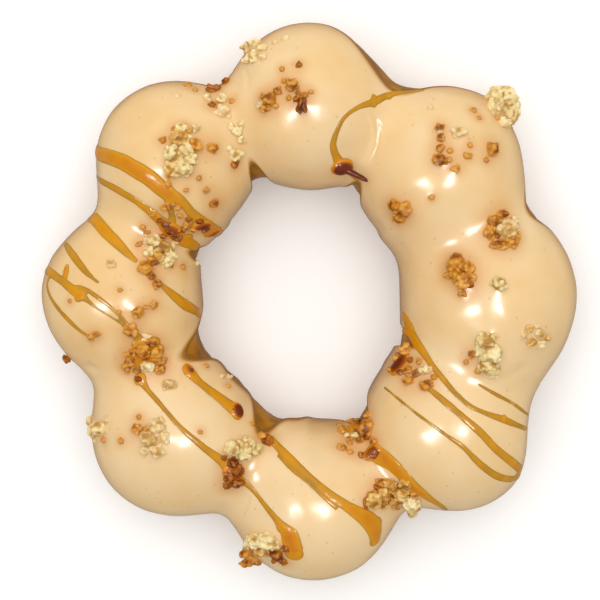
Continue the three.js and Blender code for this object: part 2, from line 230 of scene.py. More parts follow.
def coat_depth(points):
    x, y, bearing = ring_plan(points)
    outside = outsideness(x, y)
    high = smoothstep(points[:, 2], LOST_FROM, LOST_ABOVE) / FULL_RISE
    lost_inside = LOST_INSIDE * drawn_up(bearing, RISES_INSIDE) * (1 - outside)
    lost_outside = LOST_OUTSIDE * drawn_up(bearing, RISES_OUTSIDE) * outside
    return COAT - (lost_inside + lost_outside) * high


print("the glaze draws up at", len(RISES_OUTSIDE), "places outside,", len(RISES_INSIDE), "inside")

# %% [markdown]
# A circle spun round the hole has the right topology for a ring: rows round the hole and loops
# round its section. So each skin starts as a spun circle, and every point slides outwards from
# the line through the balls' middles until it meets the blended surface.

# %% Sliding points onto the ring
BALL_WIDTH = 20  # degrees within which a ball's own reach and height hold
FARTHEST = 20.0  # mm from the line through the middles, beyond every surface
HALVINGS = 20  # each halves the gap in which the surface lies
SPUN_REACH, SPUN_RADIUS = 32, 10  # mm


def core_points(bearing):
    weight = nearness(bearing, BEARING, BALL_WIDTH)
    reach, height = weight @ REACH, weight @ MIDDLE_HEIGHT
    angle = np.radians(bearing)
    return RING_MIDDLE + np.stack([reach * np.cos(angle), reach * np.sin(angle), height], 1)


def slide_out(bearing, section, share, extra):
    core = core_points(bearing)
    level, b, s = np.cos(np.radians(section)), np.radians(bearing), np.radians(section)
    direction = np.stack([level * np.cos(b), level * np.sin(b), np.sin(s)], 1)
    inside, outside = np.zeros(len(b)), np.full(len(b), FARTHEST)
    for _ in range(HALVINGS):
        middle = (inside + outside) / 2
        at = core + direction * middle[:, None]
        under = glaze_distance(at) + share * coat_depth(at) + extra
        inside = np.where(under < 0, middle, inside)
        outside = np.where(under < 0, outside, middle)
    return core + direction * inside[:, None]


def spun_ring(name, around, across):
    bpy.ops.object.select_all(action="DESELECT")
    bpy.ops.mesh.primitive_circle_add(
        vertices=across, radius=SPUN_RADIUS * MM, rotation=(math.pi / 2, 0, 0),
        location=(RING_MIDDLE + (SPUN_REACH, 0, 0)) * MM)
    piece = bpy.context.object
    piece.name = name
    settle_place(piece)
    bpy.ops.object.mode_set(mode="EDIT")
    bpy.ops.mesh.select_all(action="SELECT")
    bpy.ops.mesh.spin(steps=around, angle=2 * math.pi, center=RING_MIDDLE * MM, axis=(0, 0, 1))
    bpy.ops.mesh.select_all(action="SELECT")
    bpy.ops.mesh.remove_doubles(threshold=0.001 * MM)
    bpy.ops.mesh.normals_make_consistent(inside=False)
    bpy.ops.object.mode_set(mode="OBJECT")
    points = points_of(piece)
    x, y, bearing = ring_plan(points)
    section = np.degrees(np.arctan2(points[:, 2], np.hypot(x, y) - SPUN_REACH)) % 360
    return piece, bearing, section


# %% [markdown]
# ## The dough
# Fried dough has a thin browned crust, a little lumpy from the bubbles under it, and it is
# pressed flat where it lies. The spun ring is settled one coat of glaze below the outer surface.
# Two Displace modifiers with cloud textures raise the lumps, and the lowest points are scaled
# flat onto the floor.

# %% Shape the dough
def roughen(piece, name, size, detail, strength):
    texture = bpy.data.textures.new(name, "CLOUDS")
    texture.noise_scale = size * MM
    texture.noise_depth = detail
    finish_modifier(piece, "DISPLACE", texture=texture, strength=strength * MM,
                    texture_coords="LOCAL")


dough, bearing, section = spun_ring("dough_crust", around=480, across=120)
put_points(dough, slide_out(bearing, section, share=1.0, extra=0.0))
roughen(dough, "lumps", size=6, detail=1, strength=0.5)
roughen(dough, "blisters", size=1.8, detail=2, strength=0.22)
report(dough)


# %% Press its feet flat
def edit_chosen(piece, mode, elements, chosen):
    only(piece)
    bpy.ops.object.mode_set(mode="EDIT")
    bpy.ops.mesh.select_mode(type=mode)
    bpy.ops.mesh.select_all(action="DESELECT")
    bpy.ops.object.mode_set(mode="OBJECT")
    getattr(piece.data, elements).foreach_set("select", chosen)
    bpy.ops.object.mode_set(mode="EDIT")


low = points_of(dough)[:, 2] < 0
edit_chosen(dough, "VERT", "vertices", low)
bpy.ops.transform.resize(value=(1, 1, 0), center_override=(0, 0, 0))
bpy.ops.object.mode_set(mode="OBJECT")
bpy.ops.object.shade_smooth()
print("pressed", int(low.sum()), "points onto the floor")

# %% [markdown]
# ## The glaze
# The dipped glaze covers the balls down to a little below their widest level and ends there in a
# thick rounded lip, which a slow wave and two quick ones bend. In the grooves it draws up and
# leaves a notch of bare dough. One spun ring makes the whole shell: its section loop runs over
# the top from lip to lip, round each lip in a quarter circle down to the dough, and back inside
# the dough's surface, where it doesn't show.

# %% Where the glaze ends
RIM = -15  # degrees round the section, so a little below each ball's middle


def rim_angles(bearing):
    b = np.radians(bearing)
    outer = 4 * np.sin(3 * b + math.radians(40)) + 1.6 * np.sin(17 * b + 1) + np.sin(29 * b)
    inner = 4 * np.sin(2 * b - math.radians(70)) + 1.6 * np.sin(13 * b) + np.sin(23 * b + 2)
    outer, inner = RIM + outer, RIM + inner
    return outer + drawn_up(bearing, RISES_OUTSIDE), 180 - inner - drawn_up(bearing, RISES_INSIDE)


# %% Shape the glaze
AROUND = 520  # steps round the ring
TOP_ROWS, LIP_ROWS, BACK_ROWS = 112, 8, 24  # points over the top, round each lip and back inside
LIP = 4.2  # degrees round the section that the lip takes
BURIED = 0.25  # mm that the shell's inner side lies inside the dough
TURN_PAST, BACK_PAST = 0.9, 0.5  # how far past the rim the inner side turns and lies, in lips

quarter = np.radians(np.linspace(0, 90, LIP_ROWS))
share = np.concatenate([np.zeros(TOP_ROWS), 1 - np.cos(quarter[1:]), [1.0],
                        np.ones(BACK_ROWS), [1.0], (1 - np.cos(quarter[1:]))[::-1]])
extra = np.concatenate([np.zeros(TOP_ROWS + LIP_ROWS - 1), np.full(BACK_ROWS + 2, BURIED),
                        np.zeros(LIP_ROWS - 1)])
past = np.concatenate([np.zeros(TOP_ROWS), np.sin(quarter[1:]), [TURN_PAST],
                       np.full(BACK_ROWS, BACK_PAST), [TURN_PAST], np.sin(quarter[1:])[::-1]])
place = np.concatenate([np.linspace(0, 1, TOP_ROWS), np.ones(LIP_ROWS),
                        np.linspace(1, 0, BACK_ROWS), np.zeros(LIP_ROWS)])
rows = len(place)

glaze, bearing, section = spun_ring("glaze", AROUND, rows)
row = np.rint(section * rows / 360).astype(int) % rows
outer, inner = rim_angles(bearing)
above_lip = (inner - outer) * np.minimum(place[row], 1 - place[row])
section = outer + (inner - outer) * place[row] + LIP * np.sign(place[row] - 0.5) * past[row]
put_points(glaze, slide_out(bearing, section, share[row], extra[row]))
print("the outer rim lies at", round(outer.min()), "to", round(outer.max()), "degrees")
report(glaze)

# %% [markdown]
# Wet glaze settles into soft swells rather than a perfect ball, which is what bends the lamps'
# reflections on it. Two gentle Displace modifiers do that.

# %% Soft swells
roughen(glaze, "swells", size=9, detail=1, strength=0.35)
roughen(glaze, "ripples", size=3.2, detail=1, strength=0.07)
bpy.ops.object.shade_smooth()
report(glaze)

# %% [markdown]
# The finish will need to know two things about every point. The coat ran thin near the lip, and
# the steep sides, where the glaze falls away, are darkened with painted shade in the same tan. And
# some balls get a warmer glaze than others. Both are stored on the mesh as attributes.

# %% Attributes for the finish
WARMTH = np.array([0.25, 0.35, 0.25, 0.2, 0.2, 0.2, 0.5, 0.4])  # one for each ball
STEEP_FROM, STEEP_TO = 0.58, -0.1  # the upward share of a normal where steepness begins, is full
STEEP_SHADE = 0.85  # how much painted shade the steep sides get
THIN_LIP = 11  # degrees from the lip in which the coat grows to its full depth


def keep_attribute(piece, name, values):
    store = piece.data.attributes.new(name, "FLOAT", "POINT")
    store.data.foreach_set("value", np.asarray(values, np.float32))


keep_attribute(glaze, "warmth", nearness(bearing, BEARING, BALL_WIDTH) @ WARMTH)
# Painted shade: the steeper the glaze falls away, the more of the tan it gets. Near the lip the tan
# is the thin coat itself.
side_shade = 1 - smoothstep(at_every_point(glaze, "normal")[:, 2], STEEP_TO, STEEP_FROM)
near_lip = 1 - smoothstep(above_lip, 0, THIN_LIP)
thin_and_shaded = np.maximum(STEEP_SHADE * side_shade, near_lip)
keep_attribute(glaze, "thin_and_shaded", thin_and_shaded)
print("the coat is thin on", round(100 * (thin_and_shaded > 0.5).mean()), "% of the points")

# %% [markdown]
# ## The camera
# The doughnut is seen almost straight from above, from a little towards the far side, through a
# long lens. The toppings are placed by where they show in that view, so the camera comes first.
# A ray through a pixel meets the glaze at the place where that topping sits.

# %% Camera
TILT = math.radians(8)
DISTANCE = 400.0  # mm
PIXEL = 0.1683  # mm that a pixel covers at that distance
FRAME, SENSOR = 600, 36  # the picture's side in pixels, the sensor's in mm
HALF_WAY = 12.0  # mm, about half the doughnut's height
ASIDE, UPWARD = -1.565, 0.118  # mm from the ring's middle to the aim, across and up the view
FOCAL_PIXELS = DISTANCE / PIXEL
back = np.array([0, math.sin(TILT), math.cos(TILT)])
up = np.array([0, math.cos(TILT), -math.sin(TILT)])
right = np.array([1.0, 0, 0])
aim = RING_MIDDLE + np.array([0, 0, HALF_WAY]) + ASIDE * right + UPWARD * up
eye = aim + back * DISTANCE

bpy.ops.object.camera_add(location=eye * MM, rotation=(-TILT, 0, 0))
camera = bpy.context.object
camera.data.sensor_width = SENSOR
camera.data.lens = SENSOR * FOCAL_PIXELS / FRAME
bpy.context.scene.camera = camera
print("lens", round(camera.data.lens, 1), "mm")

# %% From a pixel to the glaze and back
DOWN = 4  # mm down the side for each mm that a pixel lies past the outline


def tree_of(piece):
    mesh = piece.data
    flat = [p.vertices[:] for p in mesh.polygons]
    return BVHTree.FromPolygons([v.co / MM for v in mesh.vertices], flat)


def pixels_of(points):
    off = points - eye
    scale = FOCAL_PIXELS / -(off @ back)
    return np.stack([FRAME / 2 + off @ right * scale, FRAME / 2 - off @ up * scale], 1)


def ray_through(u, v):
    across, down = u - FRAME / 2, v - FRAME / 2
    return Vector(right * across - up * down - back * FOCAL_PIXELS).normalized()


def half_way_down(ray):
    return Vector(eye) + ray * ((HALF_WAY - eye[2]) / ray.z)


def at_pixel(u, v):
    ray = ray_through(u, v)
    hit, normal, _, _ = glaze_tree.ray_cast(Vector(eye), ray)
    if hit is None:  # past the outline
        near, _, _, gap = glaze_tree.find_nearest(half_way_down(ray))
        hit, normal, _, _ = glaze_tree.find_nearest(near - Vector((0, 0, DOWN * gap)))
    return hit, normal


# %% [markdown]
# ## Folds
# In a few grooves the skin of the glaze wrinkled as the balls pulled it: a narrow valley with a
# ridge beside it. The faces there are subdivided once, so that the mesh can follow, and the
# points near each fold's line are pushed in or out along their normals.

# %% Lines of the folds
# Each fold: how deep (mm), how wide (pixels), and the pixels that it runs through.
FOLDS = [
    (0.14, 2.4, [(369, 108), (375, 117), (378, 128), (378, 142), (374, 155), (367, 166)]),
    (0.2, 3.0, [(84, 364), (92, 367), (101, 373)]),
    (0.16, 3.2, [(163, 348), (172, 350), (180, 354), (185, 360)]),
    (0.17, 5.5, [(531, 361), (522, 370), (511, 379), (497, 386)]),
    (0.12, 5.0, [(534, 376), (525, 384), (514, 390), (500, 395)]),
    (0.12, 2.2, [(241, 516), (247, 503), (250, 494)]),
    (0.12, 2.4, [(244, 66), (248, 80), (247, 94)]),
]
FADING = 0.3  # share of a fold's length in which each end fades


def beside(pixels, path):
    path = np.array(path, float)
    best, side, ends = np.full(len(pixels), 1e9), np.zeros(len(pixels)), np.ones(len(pixels))
    for k, (a, b) in enumerate(zip(path[:-1], path[1:])):
        along = b - a
        t = np.clip((pixels - a) @ along / (along @ along), 0, 1)
        off = pixels - a - t[:, None] * along
        far = np.hypot(off[:, 0], off[:, 1])
        nearer = far < best
        best = np.where(nearer, far, best)
        side = np.where(nearer, np.sign(along[0] * off[:, 1] - along[1] * off[:, 0]), side)
        run = (k + t) / (len(path) - 1)
        fade = smoothstep(run, 0, FADING) * smoothstep(1 - run, 0, FADING)
        ends = np.where(nearer, fade, ends)
    return best, side, ends


print(len(FOLDS), "folds through", sum(len(path) for _, _, path in FOLDS), "pixels")

# %% Fold the skin of the glaze
BAND = 9  # pixels on either side of a fold where the mesh is made finer
UPPER = 8  # mm, above which the glaze can show from the camera
FACE_UP, POINT_UP = 0.05, 0.02  # the least upward share of the normals there
RIDGE, RIDGE_PLACE = 0.6, 2  # the ridge's share of the valley's depth, and its place in widths

centres = np.array([p.center[:] for p in glaze.data.polygons]) / MM
faces_up = np.array([p.normal.z for p in glaze.data.polygons]) > FACE_UP
pixels = pixels_of(centres)
close = np.min([beside(pixels, path)[0] for _, _, path in FOLDS], axis=0) < BAND
edit_chosen(glaze, "FACE", "polygons", close & faces_up & (centres[:, 2] > UPPER))
bpy.ops.mesh.subdivide(number_cuts=1, smoothness=0)
bpy.ops.object.mode_set(mode="OBJECT")

points, normals = points_of(glaze), at_every_point(glaze, "normal")
pixels, upper = pixels_of(points), (points[:, 2] > UPPER) & (normals[:, 2] > POINT_UP)
for deep, wide, path in FOLDS:
    far, side, ends = beside(pixels, path)
    signed = far * side / wide
    push = -np.exp(-signed ** 2) + RIDGE * np.exp(-(signed - RIDGE_PLACE) ** 2)
    points += normals * (deep * push * ends * upper)[:, None]
put_points(glaze, points)
glaze_tree = tree_of(glaze)
report(glaze)

# %% [markdown]
# ## The caramel
# The caramel was flicked from a spoon: thin strands that swell, thin out, run together in a pool
# in one groove and end in heavy dark drops. Each strand is a curve with a width at every point,
# laid along the glaze. Turned into a mesh and joined, a voxel remesh melts the crossings
# together. Everything that stands up from the glaze is then pressed to a quarter of its height,
# because hot caramel settles wide and low.

# %% Paths of the strands
# Each strand: the pixels it passes and its width there, also in pixels.
STRANDS = [
    [(92, 147, 10), (98, 153, 14), (120, 161, 16), (133, 168, 17), (148, 177, 17), (166, 192, 16),
     (180, 200, 11), (190, 211, 10), (200, 221, 13), (211, 229, 14), (220, 234, 10)],
    [(95, 176, 5), (103, 182, 7), (116, 189, 8), (133, 199, 8), (146, 208, 9), (154, 215, 10),
     (166, 225, 13), (180, 238, 13), (191, 244, 11), (198, 248, 8)],
    [(168, 198, 9), (170, 207, 7), (172, 216, 7), (172, 226, 9)],
    [(83, 208, 9), (94, 218, 12), (106, 232, 12), (118, 244, 11), (128, 254, 8), (137, 262, 4)],
    [(65, 243, 4), (68, 248, 7), (78, 262, 8), (88, 274, 6), (99, 283, 3)],
    [(46, 270, 8), (50, 272, 9), (62, 281, 8), (73, 290, 10), (82, 296, 9), (88, 301, 5),
     (98, 309, 3), (110, 316, 3), (122, 324, 4), (131, 331, 8), (146, 345, 9)],
    [(76, 287, 5), (85, 289, 5), (96, 296, 4.5), (108, 305, 4.5), (120, 316, 4.5), (129, 327, 5)],
    [(51, 274, 7), (47, 284, 5), (51, 298, 5), (62, 313, 6), (78, 329, 5), (92, 338, 3)],
    [(161, 285, 5), (173, 295, 9), (184, 304, 11), (196, 311, 9), (201, 318, 5)],
    [(140, 378, 11), (147, 389, 6), (160, 404, 5), (171, 417, 5), (181, 428, 5.5), (203, 447, 7),
     (219, 459, 9), (232, 472, 9), (251, 488, 6), (267, 508, 6), (280, 524, 10), (289, 535, 18),
     (294, 550, 20)],
    [(188, 370, 13), (197, 380, 10), (205, 387, 10), (221, 399, 12), (236, 411, 15)],
    [(270, 438, 7), (284, 453, 9), (298, 466, 8), (312, 479, 7), (326, 491, 8), (342, 503, 10),
     (356, 512, 13), (368, 520, 18), (375, 530, 18), (375, 543, 13)],
    [(278, 455, 4), (292, 469, 5), (307, 482, 4), (322, 495, 5), (338, 508, 7)],
    [(403, 314, 9), (409, 327, 14), (416, 341, 12), (430, 362, 7), (444, 380, 6), (458, 396, 5.5),
     (470, 406, 5), (485, 413, 5), (502, 419, 7), (519, 426, 6), (529, 430, 4)],
    [(478, 384, 3), (497, 395, 4.5), (512, 403, 4), (528, 415, 4)],
    [(427, 388, 4), (433, 392, 6), (450, 406, 7), (465, 419, 7), (480, 432, 8), (497, 450, 8),
     (512, 462, 9), (521, 470, 9)],
    [(520, 475, 8), (512, 479, 8), (497, 476, 8), (480, 464, 7), (463, 447, 5), (446, 435, 4),
     (416, 413, 3.5), (384, 387, 3)],
    [(372, 449, 12), (379, 455, 18), (392, 464, 17), (409, 481, 14), (426, 496, 11), (441, 506, 8),
     (448, 511, 4)],
    [(424, 90, 4), (413, 91.5, 5), (400, 92.5, 6), (386, 96, 7), (374, 102, 8), (359, 107, 5),
     (345, 117, 4.5), (337, 131, 5.5), (333, 145, 7), (336, 156, 8), (341, 165, 12)],
]
STEP = 4  # pixels between two points of the smooth path


def smooth_path(path):
    knots = np.array(path, float)
    ends = np.vstack([2 * knots[0] - knots[1], knots, 2 * knots[-1] - knots[-2]])
    out = []
    for a, b, c, d in zip(ends[:-3], ends[1:-2], ends[2:-1], ends[3:]):
        steps = max(2, int(np.hypot(*(c - b)[:2]) / STEP))
        for t in np.arange(steps) / steps:
            out.append(0.5 * (2 * b + (c - a) * t + (2 * a - 5 * b + 4 * c - d) * t * t
                              + (3 * b - a - 3 * c + d) * t ** 3))
    return np.array(out + [knots[-1]])


print(len(STRANDS), "strands through", sum(len(path) for path in STRANDS), "pixels")

# %% Lay the strands
WIDER = 1.05  # the remesh takes a little off every side
THINNEST = 0.25  # mm, half the least width that the remesh keeps whole


def strand_curve(path):
    curve = bpy.data.curves.new("strand", "CURVE")
    curve.dimensions = "3D"
    curve.bevel_depth = MM
    curve.bevel_resolution = 3
    curve.use_fill_caps = True
    samples = smooth_path(path)
    spline = curve.splines.new("POLY")
    spline.points.add(len(samples) - 1)
    for point, (u, v, across) in zip(spline.points, samples):
        place, _ = at_pixel(u, v)
        point.co = (*(place * MM), 1)
        point.radius = max(THINNEST, WIDER * across * PIXEL / 2)
    strand = bpy.data.objects.new("strand", curve)
    bpy.context.scene.collection.objects.link(strand)
    return strand


strands = [strand_curve(path) for path in STRANDS]
only(*strands)
bpy.ops.object.convert(target="MESH")
print("laid on the glaze, they have", sum(len(s.data.polygons) for s in strands), "faces")

# %% Pools and drops
# Each drop: the pixel of its middle, how long and how wide it is, how its length is turned, and
# how thick it lies. The thick ones are dark.
DROPS = [
    (171, 229, 26, 16, 40, 2.0), (184, 239, 20, 12, 20, 1.3), (154, 214, 16, 10, 30, 1.6),
    (202, 225, 24, 13, 35, 2.9), (213, 232, 22, 12, 35, 2.3), (168, 192, 18, 15, 40, 1.2),
    (66, 272, 17, 8, -35, 2.0), (146, 343, 30, 14, 40, 1.3), (158, 350, 14, 12, 0, 1.6),
    (144, 356, 26, 18, 0, 1.3), (140, 379, 14, 12, 0, 1.4), (226, 464, 14, 12, 40, 1),
    (232, 473, 22, 16, 70, 2.2), (189, 371, 16, 13, 30, 2), (237, 411, 19, 16, 50, 2.8),
    (342, 167, 23, 22, 0, 2.5), (354, 175, 15, 8, 50, 1.6), (290, 538, 24, 18, 60, 0.9),
    (294, 553, 21, 20, 60, 0.8), (374, 524, 22, 17, 80, 0.8), (375, 541, 16, 13, 80, 0.9),
    (50, 273, 9, 8, 0, 1.4), (80, 296, 15, 11, 30, 1.3), (519, 472, 12, 11, 0, 1),
    (131, 331, 13, 12, 0, 1.8), (134, 358, 16, 14, 0, 1.2), (404, 317, 11, 9, 60, 1.2),
    (415, 487, 24, 8, 35, 2.6), (281, 527, 12, 10, 50, 1.2), (374, 452, 20, 16, 30, 1.8),
    (504, 419, 9, 8, 20, 1.6), (198, 312, 10, 8, 40, 1.8), (88, 212, 15, 9, 45, 2.8),
    (407, 330, 28, 13, 62, 1.5), (400, 365, 28, 20, 20, 2.0), (352, 428, 30, 12, -15, 1.6),
    (374, 101, 14, 8, 20, 1), (388, 96, 9, 8, 0, 1.3),
]


def drop(u, v, long, wide, angle, thick):
    place, normal = at_pixel(u, v)
    bpy.ops.mesh.primitive_uv_sphere_add(
        segments=20, ring_count=12, radius=MM, location=place * MM,
        rotation=normal.to_track_quat("Z", "Y").to_euler())
    piece = bpy.context.object
    piece.rotation_euler.rotate_axis("Z", math.radians(-angle))
    piece.scale = (long * PIXEL / 2, wide * PIXEL / 2, thick * wide * PIXEL / 2)
    return piece


def joined(pieces, name):
    only(*pieces)
    bpy.ops.object.join()
    whole = bpy.context.object
    whole.name = name
    settle_place(whole)
    return whole


bpy.ops.object.select_all(action="DESELECT")
caramel = joined(strands + [drop(*row) for row in DROPS], "caramel")
finish_modifier(caramel, "REMESH", mode="VOXEL", voxel_size=0.2 * MM, use_smooth_shade=True)
report(caramel)

# %% Let it settle on the glaze
LOW = 0.24  # share of its height that the caramel keeps


def rise_over(tree, point):
    near, normal, _, _ = tree.find_nearest(Vector(point))
    return (Vector(point) - near).dot(normal), np.array(normal)


def press_down(piece, keep):
    points = points_of(piece)
    for i, point in enumerate(points):
        rise, normal = rise_over(glaze_tree, point)
        points[i] = point - normal * rise * (1 - keep) if rise > 0 else point
    put_points(piece, points)


press_down(caramel, LOW)
finish_modifier(caramel, "SMOOTH", factor=0.5, iterations=3)
roughen(caramel, "wobble", size=2.5, detail=1, strength=0.1)
depths = np.array([rise_over(glaze_tree, p)[0] for p in points_of(caramel)])
keep_attribute(caramel, "depth", depths)
print("caramel up to", round(depths.max(), 2), "mm deep")
report(caramel)

# %% [markdown]
# ## The crumble
# Cookie crumble is baked in the oven and broken: lumps of fine grains stuck together, pale
# inside, toasted where they faced the heat. One lump is many small balls pushed into a middle
# one, melted together by a voxel remesh and roughened. It is modelled a metre in radius and
# scaled when it is placed. A few different lumps are enough, because each copy is turned and
# stretched its own way. The holes between the grains are remembered as an attribute, so that
# they can be given painted shade.

# %% Model the lumps
dice = np.random.default_rng(7)
# Each lump: its name, how many grains and their size, the remesh's voxel and the roughness.
BIG_LUMPS = [("big_a", 75, 0.19, 0.085, 0.12), ("big_b", 50, 0.23, 0.085, 0.12),
             ("big_c", 95, 0.16, 0.085, 0.12)]
MIDDLE_LUMPS = [("middle_a", 26, 0.27, 0.14, 0.1), ("middle_b", 18, 0.32, 0.14, 0.1)]
SMALL_LUMPS = [("small_a", 10, 0.34, 0.25, 0.1), ("small_b", 8, 0.38, 0.25, 0.1)]
MIDDLE_BALL = 0.78  # the radius of a lump's middle ball
GRAIN_PLACES = (0.62, 0.88)  # how far out the grains lie
GRAIN_SIZES = (0.6, 1.3)  # shares of the lump's own grain size
KNOBBLY = 0.25  # share of its size by which a grain's points stray
CLOUD = 0.16  # how wide the clouds are that roughen it
HOLE, HOLE_EDGE = 0.72, 0.92  # how far out the floor of a hole and its edge lie


def lump(name, grains, grain_size, voxel, rough):
    bpy.ops.object.select_all(action="DESELECT")
    balls = []
    for i in range(grains + 1):
        direction = dice.normal(size=3)
        direction /= np.linalg.norm(direction)
        place = direction * (0.0 if i == 0 else dice.uniform(*GRAIN_PLACES))
        size = MIDDLE_BALL if i == 0 else grain_size * dice.uniform(*GRAIN_SIZES)
        bpy.ops.mesh.primitive_ico_sphere_add(subdivisions=2, radius=size, location=place)
        balls.append(bpy.context.object)
        bpy.ops.object.mode_set(mode="EDIT")
        bpy.ops.transform.vertex_random(offset=size * KNOBBLY, seed=i + 1)
        bpy.ops.object.mode_set(mode="OBJECT")
    piece = joined(balls, name)
    finish_modifier(piece, "REMESH", mode="VOXEL", voxel_size=voxel, use_smooth_shade=True)
    roughen(piece, name, size=CLOUD / MM, detail=2, strength=rough / MM)
    out = np.linalg.norm(points_of(piece) * MM, axis=1)
    # The holes between the grains are marked here for painted shade.
    keep_attribute(piece, "pit_shade", 1 - smoothstep(out, HOLE, HOLE_EDGE))
    report(piece)
    return piece


big_lumps = [lump(*row) for row in BIG_LUMPS]
middle_lumps = [lump(*row) for row in MIDDLE_LUMPS]
small_lumps = [lump(*row) for row in SMALL_LUMPS]

# %% [markdown]
# The smallest crumbs are single grains, so a rough ball of few faces is enough for them.

# %% Model a bit
DENT, BULGE = 0.7, 1.0  # how far out its hollows and its corners lie


def bit_model(name, seed):
    bpy.ops.object.select_all(action="DESELECT")
    bpy.ops.mesh.primitive_ico_sphere_add(subdivisions=2, radius=1)
    piece = bpy.context.object
    piece.name = name
    bpy.ops.object.mode_set(mode="EDIT")
    bpy.ops.transform.vertex_random(offset=0.2, seed=seed)
    bpy.ops.object.mode_set(mode="OBJECT")
    out = np.linalg.norm(points_of(piece) * MM, axis=1)
    # Its hollows are marked here for painted shade.
    keep_attribute(piece, "pit_shade", 1 - smoothstep(out, DENT, BULGE))
    report(piece)
    return piece


bits = [bit_model("bit_a", seed=3), bit_model("bit_b", seed=8)]

# %% [markdown]
# The crumble lies where it fell. Each row below gives the pixel of a lump's middle and its width
# and height in the view. The rows are sorted by kind: the pale inside of a cookie, golden,
# glazed over, toasted, or soaked in caramel. A row is a copy of one of the lumps, seated so that
# about a third of it is sunk in the glaze, and each copy is a little darker or lighter than the
# next.

